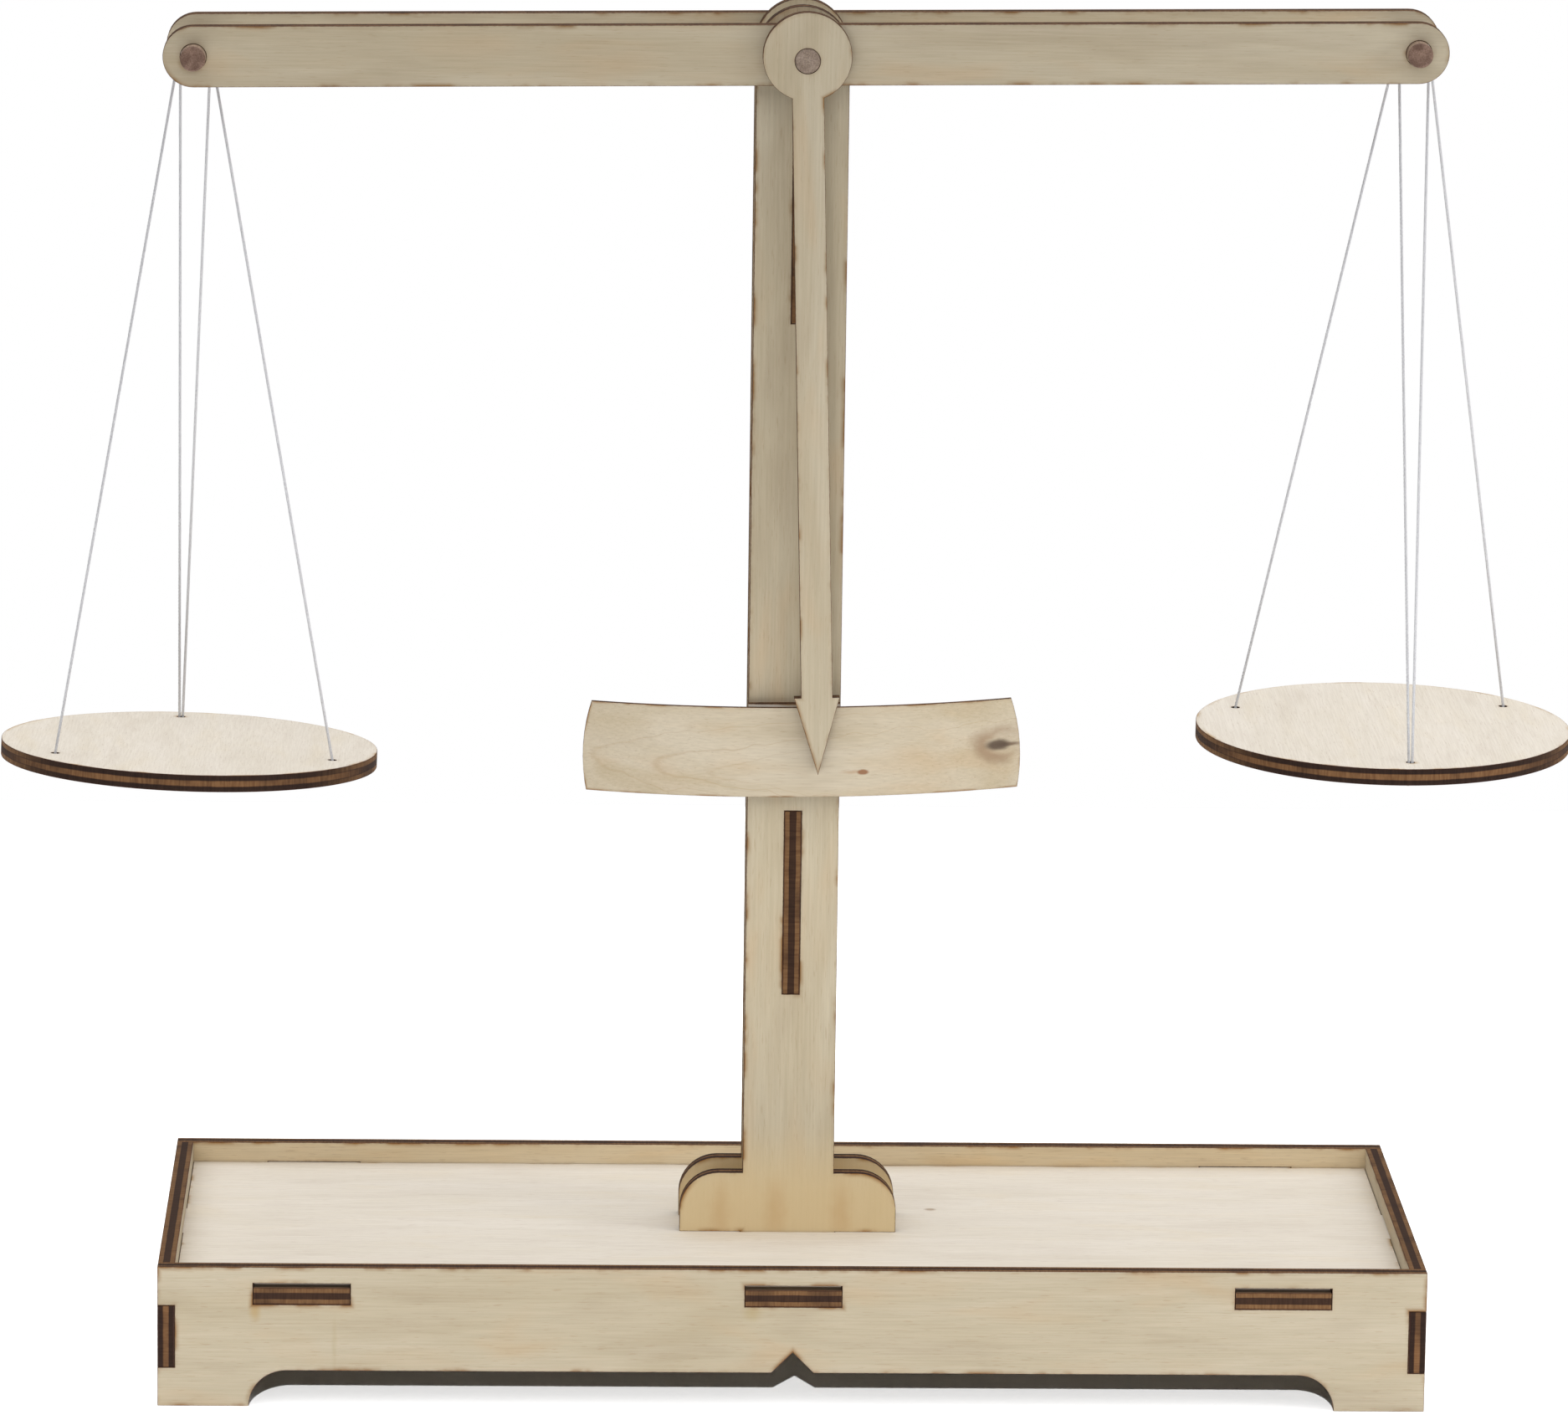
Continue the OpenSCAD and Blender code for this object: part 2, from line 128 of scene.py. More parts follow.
def thread_route(pan, first, last, y):
    """From the tail under one hole, up and over the dowel, to the tail under the other, in mm."""
    peg = pan["peg"]
    below = Vector((0, 0, -(PAN_T + KNOT_SEAT + TAIL_BELOW)))
    feet = [on_pan(pan, first), on_pan(pan, last)]
    tails = [on_pan(pan, first + below), on_pan(pan, last + below)]
    slopes = [(foot.y - y) / (peg.z - foot.z) for foot in feet]

    def leaving(foot, way):
        across = way * (foot.x - peg.x)
        drop = peg.z - foot.z
        return math.acos(TURN_R / math.hypot(across, drop)) - math.atan2(drop, across)

    start = math.pi - leaving(feet[0], -1)
    stop = leaving(feet[1], 1)
    points = [tails[0], feet[0]]
    for step in range(TURN_STEPS + 1):
        share = step / TURN_STEPS
        angle = start + (stop - start) * share
        rise = TURN_R * math.sin(angle)
        slope = slopes[0] + (slopes[1] - slopes[0]) * share
        points.append(Vector((peg.x + TURN_R * math.cos(angle), y - rise * slope, peg.z + rise)))
    return points + [feet[1], tails[1]]


# %% Sweep a twisted thread
TWIST_PITCH = 2.6
SWEEP_STEP = 0.3
LOBES = 3
SECTION_SIDES = 12
GROOVE_DEPTH = 0.16


def even_steps(points, step, closed=False):
    """The same route with a point every step."""
    route = points + points[:1] if closed else points
    out = [route[0]]
    carried = 0.0
    for a, b in zip(route, route[1:]):
        length = (b - a).length
        at = step - carried
        while at <= length:
            out.append(a.lerp(b, at / length))
            at += step
        carried = length - (at - step)
    return out


def lobed_section(name, diameter):
    """A closed section with one lobe for each strand of the thread."""
    curve = bpy.data.curves.new(name, "CURVE")
    spline = curve.splines.new("POLY")
    spline.points.add(SECTION_SIDES - 1)
    for i, point in enumerate(spline.points):
        angle = 2 * math.pi * i / SECTION_SIDES
        r = diameter / 2 * (1 - GROOVE_DEPTH * (1 - math.cos(LOBES * angle)) / 2)
        point.co = (r * math.cos(angle), r * math.sin(angle), 0, 1)
    spline.use_cyclic_u = True
    section = bpy.data.objects.new(name, curve)
    bpy.context.scene.collection.objects.link(section)
    return section


def twisted_tube(name, routes, diameter, closed=False):
    """One mesh of twisted thread along one or more routes, all in mm."""
    section = lobed_section(name + "_section", diameter * MM)
    curve = bpy.data.curves.new(name + "_route", "CURVE")
    curve.dimensions = "3D"
    curve.bevel_mode = "OBJECT"
    curve.bevel_object = section
    curve.use_fill_caps = True
    for route in routes:
        steps = even_steps(route, SWEEP_STEP, closed)
        spline = curve.splines.new("POLY")
        spline.points.add(len(steps) - 1)
        for i, (point, place) in enumerate(zip(spline.points, steps)):
            point.co = (*(place * MM), 1)
            point.tilt = 2 * math.pi * i * SWEEP_STEP / TWIST_PITCH
    swept = bpy.data.objects.new(name + "_swept", curve)
    bpy.context.scene.collection.objects.link(swept)
    mesh = bpy.data.meshes.new_from_object(swept.evaluated_get(bpy.context.evaluated_depsgraph_get()))
    bpy.data.objects.remove(swept)
    bpy.data.objects.remove(section)
    mesh.shade_smooth()
    mesh.name = name
    piece = bpy.data.objects.new(name, mesh)
    bpy.context.scene.collection.objects.link(piece)
    return piece


def route_length(points):
    return sum((b - a).length for a, b in zip(points, points[1:]))


# %% [markdown]
# ### Stopper knots
# Under every hole the thread is tied in a small overhand knot that can't slip through. Tied tight, it is a
# three-lobed loop around its own thread, so a trefoil curve of the same twisted thread gives its shape
# better than a ball would.

# %% Tie a stopper knot
KNOT_SCALE = 0.28
KNOT_RISE = 1.6
KNOT_THREAD_D = THREAD_D * 1.05
KNOT_STEPS = 72


def knot_route(centre, tilt, phase):
    """A closed trefoil around the thread, in mm."""
    out = []
    for step in range(KNOT_STEPS):
        t = 2 * math.pi * step / KNOT_STEPS
        r = 2 + math.cos(3 * t)
        turn = 2 * t + phase
        loop = Vector((r * math.cos(turn), r * math.sin(turn), KNOT_RISE * math.sin(3 * t)))
        out.append(centre + tilt @ (loop * KNOT_SCALE))
    return out


# %% Make the threads and the knots of both pans
threads = {}
for side, pan in PANS.items():
    way = 1 if pan["turn"] > 0 else -1
    a, b = [hole(pan, number) for number in pan["bridle"]]
    loop_hole = hole(pan, 0)
    apart = Vector((STRAND_APART, 0, 0))
    runs = {
        "bridle": (thread_route(pan, a, b, pan["peg"].y - way * THREAD_SIDE), [a, b]),
        "loop": (thread_route(pan, loop_hole - apart, loop_hole + apart, pan["peg"].y + way * THREAD_SIDE),
                 [loop_hole]),
    }
    for kind, (points, holes) in runs.items():
        thread = twisted_tube(f"{side}_{kind}_thread", [points], THREAD_D)
        centres = [on_pan(pan, h - Vector((0, 0, PAN_T + KNOT_SEAT))) for h in holes]
        knots = twisted_tube(
            f"{side}_{kind}_knots",
            [knot_route(centre, pan["tilt"], i + len(holes)) for i, centre in enumerate(centres)],
            KNOT_THREAD_D, closed=True)
        for piece in (thread, knots):
            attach(piece, side + "_pan_set")
        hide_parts(f"{side}_{kind}_string")
        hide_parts(side + "_knots")
        threads[thread.name] = [thread, knots]
        print(thread.name, round(route_length(points), 1), "mm long,", len(thread.data.polygons), "faces")

# %% [markdown]
# ## Cut plywood
# A laser leaves a sheet with crisp outlines, brown charred edges and a thin smoky halo on the face beside
# every cut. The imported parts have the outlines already. Each one is copied, its triangles are merged and
# dissolved back into whole faces, and the two faces of the sheet are inset by the width of the halo. The
# inset gives a strip along every outline that carries a "scorch" value, from one at the cut to nought
# inside, which a shader can read. Painting the halo with a texture would need a map for every part.

# %% Copy a part and mark its cuts
HALO = 1.5 * MM
EDGE_ROUND = 0.13 * MM
SHEET_FACE = 0.93
SAME_POINT = 0.001 * MM
SAME_PLANE = math.radians(0.4)
SHADED_SHARP = math.radians(30)
ARRIS = math.radians(40)
AXES = {"x": Vector((1, 0, 0)), "y": Vector((0, 1, 0)), "z": Vector((0, 0, 1))}


def cut_part(node, sheet, grain, halo=HALO):
    """A copy of a packed plywood part: slot 0 is for the sheet's faces, slot 1 for the cut edge."""
    bm = bmesh.new()
    bm.from_mesh(frame["nodes"][node].data)
    bmesh.ops.remove_doubles(bm, verts=bm.verts, dist=SAME_POINT)
    bmesh.ops.dissolve_limit(bm, angle_limit=SAME_PLANE, verts=bm.verts, edges=bm.edges)
    across = bm.verts.layers.float.new("across")
    scorch = bm.verts.layers.float.new("scorch")
    end_grain = bm.faces.layers.float.new("end_grain")
    bm.normal_update()
    faces = [f for f in bm.faces if abs(f.normal.dot(sheet)) > SHEET_FACE]
    for f in bm.faces:
        f.material_index = 1
        f[end_grain] = abs(f.normal.dot(grain))
    for f in faces:
        f.material_index = 0
        for v in f.verts:
            v[across] = 1.0 if f.normal.dot(sheet) > 0 else -1.0
            v[scorch] = 1.0
    bmesh.ops.inset_region(bm, faces=faces, thickness=halo, use_even_offset=True, use_boundary=True)
    for f in faces:
        for v in f.verts:
            v[scorch] = 0.0
    mesh = bpy.data.meshes.new(node + "_cut")
    bm.to_mesh(mesh)
    bm.free()
    mesh.shade_smooth()
    mesh.set_sharp_from_angle(angle=SHADED_SHARP)
    piece = bpy.data.objects.new(node + "_cut", mesh)
    bpy.context.scene.collection.objects.link(piece)
    bevel = piece.modifiers.new("softened arris", "BEVEL")
    bevel.width = EDGE_ROUND
    bevel.segments = 2
    bevel.limit_method = "ANGLE"
    bevel.angle_limit = ARRIS
    bevel.harden_normals = True
    return piece


# %% Cut every plywood part
left_up = PANS["left"]["tilt"] @ AXES["z"]
right_up = PANS["right"]["tilt"] @ AXES["z"]
PLY_PARTS = {
    "front_panel": ("stand", "birch_plywood", AXES["y"], "x"),
    "back_panel": ("stand", "birch_plywood", AXES["y"], "x"),
    "left_end_panel": ("stand", "birch_plywood", AXES["x"], "y"),
    "right_end_panel": ("stand", "birch_plywood", AXES["x"], "y"),
    "tray_floor": ("stand", "pale_plywood", AXES["z"], "x"),
    "column_front_plate": ("stand", "birch_plywood", AXES["y"], "z"),
    "column_back_plate": ("stand", "birch_plywood", AXES["y"], "z"),
    "column_rib": ("stand", "birch_plywood", AXES["x"], "z"),
    "dial_spacer": ("stand", "pale_plywood", AXES["y"], "x"),
    "dial_plate": ("stand", "birch_veneer", AXES["y"], "x"),
    "front_beam_bar": ("beam", "birch_plywood", AXES["y"], "x"),
    "back_beam_bar": ("beam", "birch_plywood", AXES["y"], "x"),
    "pointer": ("beam", "birch_plywood", AXES["y"], "z"),
    "left_pan": ("left_pan_set", "pale_plywood", left_up, "y"),
    "right_pan": ("right_pan_set", "pale_plywood", right_up, "y"),
}
THIN_HALO = {"dial_plate": 0.8 * MM, "dial_spacer": 0.8 * MM, "pointer": 1.2 * MM}

plywood = {}
for node, (body, slot_name, sheet, grain) in PLY_PARTS.items():
    piece = cut_part(node, sheet, AXES[grain], THIN_HALO.get(node, HALO))
    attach(piece, body)
    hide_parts(node)
    plywood[node] = piece
    print(piece.name, len(piece.data.polygons), "faces")

# %% [markdown]
# ## Dowels
# The axle and the two hangers are lengths of 6 mm hardwood rod. Their ends are sawn and rubbed round with
# sandpaper, so a straight cylinder would look wrong where it meets the light. A circle is extruded along
# the rod, and a bevel with several segments rounds both ends within the length that the frame gives.

# %% Make the dowels
ROUNDED_END = 0.7 * MM
END_GRAIN_REACH = 0.75 * ROUNDED_END
DOWEL_SIDES = 64
DOWELS = {"beam_axle": "beam", "left_hanger_dowel": "left_hanger", "right_hanger_dowel": "right_hanger"}


def round_dowel(node):
    """A rod along Y with rounded ends: slot 0 is its side, slot 1 its end grain."""
    low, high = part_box(node)
    middle = (low + high) / 2
    bm = bmesh.new()
    bmesh.ops.create_circle(bm, cap_ends=True, segments=DOWEL_SIDES, radius=(high.x - low.x) / 2)
    bmesh.ops.rotate(bm, verts=bm.verts, matrix=Matrix.Rotation(math.pi / 2, 3, "X"))
    bmesh.ops.translate(bm, verts=bm.verts, vec=(middle.x, low.y, middle.z))
    rod = bmesh.ops.extrude_face_region(bm, geom=bm.faces[:])
    far = [v for v in rod["geom"] if isinstance(v, bmesh.types.BMVert)]
    bmesh.ops.translate(bm, verts=far, vec=(0, high.y - low.y, 0))
    bmesh.ops.recalc_face_normals(bm, faces=bm.faces)
    rims = [e for e in bm.edges if e.calc_face_angle(0) > math.radians(60)]
    bmesh.ops.bevel(bm, geom=rims, offset=ROUNDED_END, offset_type="OFFSET", segments=5,
                    profile=0.5, affect="EDGES", material=-1)
    for f in bm.faces:
        near_end = min(f.calc_center_median().y - low.y, high.y - f.calc_center_median().y)
        f.material_index = 1 if near_end < END_GRAIN_REACH else 0
    mesh = bpy.data.meshes.new(node + "_rod")
    bm.to_mesh(mesh)
    bm.free()
    mesh.shade_smooth()
    mesh.set_sharp_from_angle(angle=math.radians(35))
    piece = bpy.data.objects.new(node + "_rod", mesh)
    bpy.context.scene.collection.objects.link(piece)
    return piece


dowels = {}
for node, body in DOWELS.items():
    piece = round_dowel(node)
    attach(piece, body)
    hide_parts(node)
    dowels[node] = piece
    print(piece.name, len(piece.data.polygons), "faces")

# %% [markdown]
# ## Finishes
# Every colour is written as the hex value that a colour picker shows and turned to linear light by one
# function. One more function adds a node with its settings and links and gives back the output to go on
# with, so that a finish reads as a list of what happens to the wood. Sockets are named, or numbered where a
# node has several of the same name: a Mix of colours has its share at 0, its colours at 6 and 7 and its
# result at output 2, and a Map Range turns the span 1 to 2 into the span 3 to 4.

# %% Two helpers for materials
COLOUR = {"out": 2, "data_type": "RGBA"}
SMOOTH = {"interpolation_type": "SMOOTHSTEP"}


def linear(hex_text):
    """A hex colour as the four linear values that a shader wants."""
    values = [int(hex_text[i:i + 2], 16) / 255 for i in (1, 3, 5)]
    return (*[v / 12.92 if v <= 0.04045 else ((v + 0.055) / 1.055) ** 2.4 for v in values], 1.0)


def add(tree, kind, sockets=None, out=0, stops=(), **settings):
    """Adds a node and returns an output of it. A socket takes a number, a colour or another output."""
    node = tree.nodes.new("ShaderNode" + kind)
    for key, value in settings.items():
        setattr(node, key, value)
    for key, value in (sockets or {}).items():
        if isinstance(value, bpy.types.NodeSocket):
            tree.links.new(value, node.inputs[key])
        else:
            node.inputs[key].default_value = value
    for i, (place, colour) in enumerate(stops):
        node.color_ramp.elements[i].position = place
        node.color_ramp.elements[i].color = linear(colour)
    return node.outputs[out]


def new_finish(name):
    """An empty material with its shader. Returns the material, its tree and the shader."""
    material = bpy.data.materials.new(name)
    material.use_nodes = True
    tree = material.node_tree
    return material, tree, tree.nodes["Principled BSDF"]


# %% [markdown]
# ### Birch face veneer
# The face of the sheet is rotary-cut birch: a pale, even wood with soft clouds of figure, fine fibres and
# short hair-thin pores that all run along the grain. A laser leaves a dark line where it cut and a
# yellow-brown halo of smoke beside it, faint along most of a cut and strong where the smoke hung. Noises
# stretched along the grain give figure, fibres and pores at their real size, and the scorch value of the
# mesh brings in the smoke.

# %% Birch face
FIGURE_LONG, FIGURE_WIDE = 85.0, 11.0
FIBRE_LONG, FIBRE_WIDE = 16.0, 0.42
PORE_LONG, PORE_WIDE = 3.6, 0.26
CLOUD_LONG, CLOUD_WIDE = 30.0, 9.0
TURNS = {"x": (0, 0, 0), "y": (0, 0, math.pi / 2), "z": (0, math.pi / 2, 0)}


def grain_noise(tree, place, long, wide, detail, distortion=0.0):
    """Noise stretched along the grain. Its cells are long by wide millimetres."""
    stretched = add(tree, "Mapping", {"Vector": place, "Scale": (1 / long, 1 / wide, 1 / wide)})
    sockets = {"Vector": stretched, "Scale": 1.0, "Detail": detail, "Distortion": distortion}
    return add(tree, "TexNoise", sockets)


def millimetres(tree, grain, shift):
    """Object coordinates in millimetres, turned so that the grain runs along X."""
    place = add(tree, "TexCoord", out="Object")
    scaled = add(tree, "VectorMath", {0: place, "Scale": 1 / MM}, operation="SCALE")
    return add(tree, "Mapping", {"Vector": scaled, "Rotation": TURNS[grain], "Location": shift})


def birch_face(name, grain, light, dark, cloud, shift=(0, 0, 0), figure=0.5, clouds=0.4, smoke="#b98f57",
               marks=None):
    material, tree, shader = new_finish(name)
    place = millimetres(tree, grain, shift)
    fibre = grain_noise(tree, place, FIBRE_LONG, FIBRE_WIDE, 3.0)
    band = grain_noise(tree, place, FIGURE_LONG, FIGURE_WIDE, 3.0, 1.2)
    body = add(tree, "ValToRGB", {0: band}, stops=[(0.5 - figure / 2, dark), (0.5 + figure / 2, light)])
    patch = grain_noise(tree, place, CLOUD_LONG, CLOUD_WIDE, 2.0, 0.4)
    warm = add(tree, "MapRange", {0: patch, 1: 0.5, 2: 0.78, 4: clouds}, **SMOOTH)
    body = add(tree, "Mix", {0: warm, 6: body, 7: linear(cloud)}, **COLOUR)
    cool = add(tree, "MapRange", {0: patch, 1: 0.5, 2: 0.24, 4: clouds * 0.6}, **SMOOTH)
    body = add(tree, "Mix", {0: cool, 6: body, 7: linear("#d8cec8")}, blend_type="MULTIPLY", **COLOUR)
    fibres = add(tree, "ValToRGB", {0: fibre}, stops=[(0.3, "#e6e4e1"), (0.7, "#ffffff")])
    body = add(tree, "Mix", {0: 0.5, 6: body, 7: fibres}, blend_type="MULTIPLY", **COLOUR)
    pore = grain_noise(tree, place, PORE_LONG, PORE_WIDE, 1.0)
    pores = add(tree, "MapRange", {0: pore, 1: 0.62, 2: 0.74, 4: 0.2}, **SMOOTH)
    body = add(tree, "Mix", {0: pores, 6: body, 7: linear("#8f6a45")}, **COLOUR)
    if marks:
        body = marks(tree, body)
    scorch = add(tree, "Attribute", out="Fac", attribute_name="scorch")
    drift = add(tree, "TexNoise", {"Vector": place, "Scale": 0.11, "Detail": 3.0})
    thick = add(tree, "MapRange", {0: drift, 1: 0.46, 2: 0.66, 3: 0.35, 4: 1.1}, **SMOOTH)
    reach = add(tree, "Math", {0: scorch, 1: thick}, operation="MULTIPLY")
    halo = add(tree, "Math", {0: reach, 1: 2.0}, operation="POWER")
    body = add(tree, "Mix", {0: halo, 6: body, 7: linear(smoke)}, blend_type="MULTIPLY", **COLOUR)
    ragged = add(tree, "TexNoise", {"Vector": place, "Scale": 1.3, "Detail": 2.0})
    line = add(tree, "Math", {0: ragged, 1: 0.16, 2: scorch}, operation="MULTIPLY_ADD")
    charred = add(tree, "MapRange", {0: line, 1: 0.95, 2: 1.06, 4: 0.85}, **SMOOTH)
    body = add(tree, "Mix", {0: charred, 6: body, 7: linear("#5b3a29")}, **COLOUR)
    tree.links.new(body, shader.inputs["Base Color"])
    rough = add(tree, "MapRange", {0: fibre, 1: 0.3, 2: 0.7, 3: 0.72, 4: 0.6})
    tree.links.new(rough, shader.inputs["Roughness"])
    shader.inputs["Specular IOR Level"].default_value = 0.3
    height = add(tree, "Math", {0: pores, 1: -2.0, 2: fibre}, operation="MULTIPLY_ADD")
    bump = add(tree, "Bump", {"Height": height, "Strength": 0.25, "Distance": 0.06 * MM})
    tree.links.new(bump, shader.inputs["Normal"])
    return material


# %% [markdown]
# ### Marks that happen once
# Some things are on one part only: a knot, a fleck, a smoke stain. Each is drawn from its distance to a
# point, in millimetres, with the axes stretched to the mark's own length and height, and a little noise in
# the place makes its outline uneven. The dial's thin veneer has the most of them: long loops of figure at
# the left, one small knot near the right end with the fibres swirling past it, and a reddish fleck.

# %% One mark
WOBBLE_CELL = 4 * MM


def mark(tree, at, size, wobble):
    """One in the middle of a mark and nought at its edge, all in mm. A size of 0 leaves that axis out."""
    place = add(tree, "TexCoord", out="Object")
    cells = {"Vector": place, "Scale": 1 / WOBBLE_CELL, "Detail": 2.0}
    noise = add(tree, "TexNoise", cells, out="Color")
    centred = add(tree, "VectorMath", {0: noise, 1: (0.5, 0.5, 0.5)}, operation="SUBTRACT")
    moved = add(tree, "VectorMath", {0: centred, "Scale": wobble * MM}, operation="SCALE")
    uneven = add(tree, "VectorMath", {0: place, 1: moved}, operation="ADD")
    near = add(tree, "VectorMath", {0: uneven, 1: [v * MM for v in at]}, operation="SUBTRACT")
    stretch = [1 / (v * MM) if v else 0 for v in size]
    sized = add(tree, "VectorMath", {0: near, 1: stretch}, operation="MULTIPLY")
    far = add(tree, "VectorMath", {0: sized}, out="Value", operation="LENGTH")
    return add(tree, "Math", {0: 1.0, 1: far}, operation="SUBTRACT")


def stain(tree, body, at, size, colour, strength, soft, wobble):
    """One mark laid over the wood. The softer it is, the further its edge runs in."""
    share = add(tree, "MapRange", {0: mark(tree, at, size, wobble), 2: soft, 4: strength}, **SMOOTH)
    return add(tree, "Mix", {0: share, 6: body, 7: linear(colour)}, **COLOUR)


# %% Knot, fleck and figure of the dial
KNOT_X, KNOT_Z = 49.0, 149.0
FLECK_X, FLECK_Z = 16.5, 143.6
LOOPS = [
    ((-33.0, 147.0), 14.0, 0.9, 0.28),
    ((-48.0, 148.0), 9.0, 0.8, 0.2),
    ((-20.0, 146.0), 20.0, 1.0, 0.16),
]
LOOP_CELL = 11 * MM
LOOP_WANDER = 5 * MM


def figure_loop(tree, body, tip, width, line, strength):
    """A long loop of figure that opens to the right from its tip."""
    place = add(tree, "TexCoord", out="Object")
    noise = add(tree, "TexNoise", {"Vector": place, "Scale": 1 / LOOP_CELL, "Detail": 2.0})
    x = add(tree, "SeparateXYZ", {0: place}, out="X")
    z = add(tree, "SeparateXYZ", {0: place}, out="Z")
    rise = add(tree, "Math", {0: z, 1: tip[1] * MM}, operation="SUBTRACT")
    bent = add(tree, "Math", {0: noise, 1: LOOP_WANDER, 2: rise}, operation="MULTIPLY_ADD")
    square = add(tree, "Math", {0: bent, 1: bent}, operation="MULTIPLY")
    deep = add(tree, "Math", {0: square, 1: -width / MM / 20, 2: x}, operation="MULTIPLY_ADD")
    off = add(tree, "Math", {0: deep, 1: tip[0] * MM}, operation="SUBTRACT")
    near = add(tree, "Math", {0: off}, operation="ABSOLUTE")
    share = add(tree, "MapRange", {0: near, 1: line * 2 * MM, 2: 0.0, 4: strength}, **SMOOTH)
    return add(tree, "Mix", {0: share, 6: body, 7: linear("#a98a64")}, **COLOUR)


def dial_marks(tree, body):
    """The loops of figure, then the knot's brown swirl, its dark eye and tail, and the small fleck."""
    for tip, width, line, strength in LOOPS:
        body = figure_loop(tree, body, tip, width, line, strength)
    swirl = mark(tree, (KNOT_X - 0.8, 0, KNOT_Z - 0.3), (7.4, 0, 6.2), 3.0)
    hollow = mark(tree, (KNOT_X + 1.4, 0, KNOT_Z + 0.3), (5.0, 0, 3.4), 1.5)
    brown = add(tree, "MapRange", {0: swirl, 2: 0.6, 4: 0.7}, **SMOOTH)
    open_part = add(tree, "MapRange", {0: hollow, 2: 0.4, 3: 1.0, 4: 0.25}, **SMOOTH)
    ring = add(tree, "Math", {0: brown, 1: open_part}, operation="MULTIPLY")
    body = add(tree, "Mix", {0: ring, 6: body, 7: linear("#93765a")}, **COLOUR)
    body = stain(tree, body, (KNOT_X + 2.5, 0, KNOT_Z), (5.2, 0, 0.8), "#6b5340", 0.8, 0.8, 0.5)
    body = stain(tree, body, (KNOT_X, 0, KNOT_Z), (3.8, 0, 1.9), "#57473a", 0.92, 0.6, 0.9)
    body = stain(tree, body, (FLECK_X - 2.2, 0, FLECK_Z + 0.1), (4.4, 0, 0.7), "#a5774f", 0.4, 0.9, 0.8)
    return stain(tree, body, (FLECK_X, 0, FLECK_Z), (1.8, 0, 0.8), "#8a5732", 0.85, 0.5, 0.5)


# %% Stains and flecks of the base, painted bounce light on the foot and painted shade on the tabs
PANEL_Y = -60
PAINTED_BOUNCE_TOP, PAINTED_BOUNCE_FULL = 58 * MM, 36 * MM
TAB_START, TAB_FULL = 55.8 * MM, 57.0 * MM


def panel_marks(tree, body):
    """Smoke under the left ends of two slots, and a faint drip under the left slot's other end."""
    body = stain(tree, body, (-127.0, PANEL_Y, 23.8), (2.0, 1.0, 4.6), "#a8894f", 0.6, 1.0, 1.2)
    body = stain(tree, body, (-9.6, PANEL_Y, 23.6), (3.4, 1.0, 3.2), "#a08a55", 0.4, 1.0, 1.2)
    return stain(tree, body, (-108.3, PANEL_Y, 15.0), (0.9, 1.0, 10.0), "#a08c62", 0.25, 1.0, 0.8)


def foot_bounce_light_and_streaks(tree, body):
    """Painted bounce light from the tray: the column's foot turns lighter and warmer towards its bottom. It
    also has brown streaks.
    """
    place = add(tree, "TexCoord", out="Object")
    height = add(tree, "SeparateXYZ", {0: place}, out="Z")
    # Painted bounce light: the foot's colour is lighter and warmer below 58 mm, and fully so below 36 mm.
    low = add(tree, "MapRange", {0: height, 1: PAINTED_BOUNCE_TOP, 2: PAINTED_BOUNCE_FULL, 4: 0.8}, **SMOOTH)
    body = add(tree, "Mix", {0: low, 6: body, 7: linear("#e2ca9c")}, **COLOUR)
    for x in (-16.5, -3.0, 13.0):
        body = stain(tree, body, (x, 0, 34.0), (4.0, 0, 12.0), "#c49a62", 0.35, 1.0, 3.5)
    return body


def tray_tab_shade_and_fleck(tree, body):
    """Painted shade of the slots on the tabs, which lie inside them, over a little real char. Also a small
    brown fleck to the right of the foot.
    """
    place = add(tree, "TexCoord", out="Object")
    towards_back = add(tree, "SeparateXYZ", {0: place}, out="Y")
    deep = add(tree, "Math", {0: towards_back}, operation="ABSOLUTE")
    # Painted shade: the tabs inside the slots are darkened where the slot shades them, with a little real
    # char.
    slot_shade_on_tab = add(tree, "MapRange", {0: deep, 1: TAB_START, 2: TAB_FULL, 4: 0.9}, **SMOOTH)
    body = add(tree, "Mix", {0: slot_shade_on_tab, 6: body, 7: linear("#7d5f40")}, **COLOUR)
    return stain(tree, body, (35.5, 14.0, 0), (2.0, 1.6, 0), "#8f6b45", 0.6, 0.7, 0.8)


# %% [markdown]
# ### Laser-cut edge
# On the cut the three plies show as bands. A ply whose fibres meet the cut end-on burns almost black, and
# one whose fibres run along it stays brown, so the bands swap where the outline turns. The mesh carries
# how far a point is across the sheet and how square the cut is to the grain, and the shader does the rest.
# Fine ridges run across the edge, one for each pulse of the laser, drawn a little coarser than real so that
# they show.

# %% Cut edge
RIDGE = 0.5 * MM
ALONG_RIDGE = 4 * MM
BURN_CELL = 9 * MM
CORE = 0.36


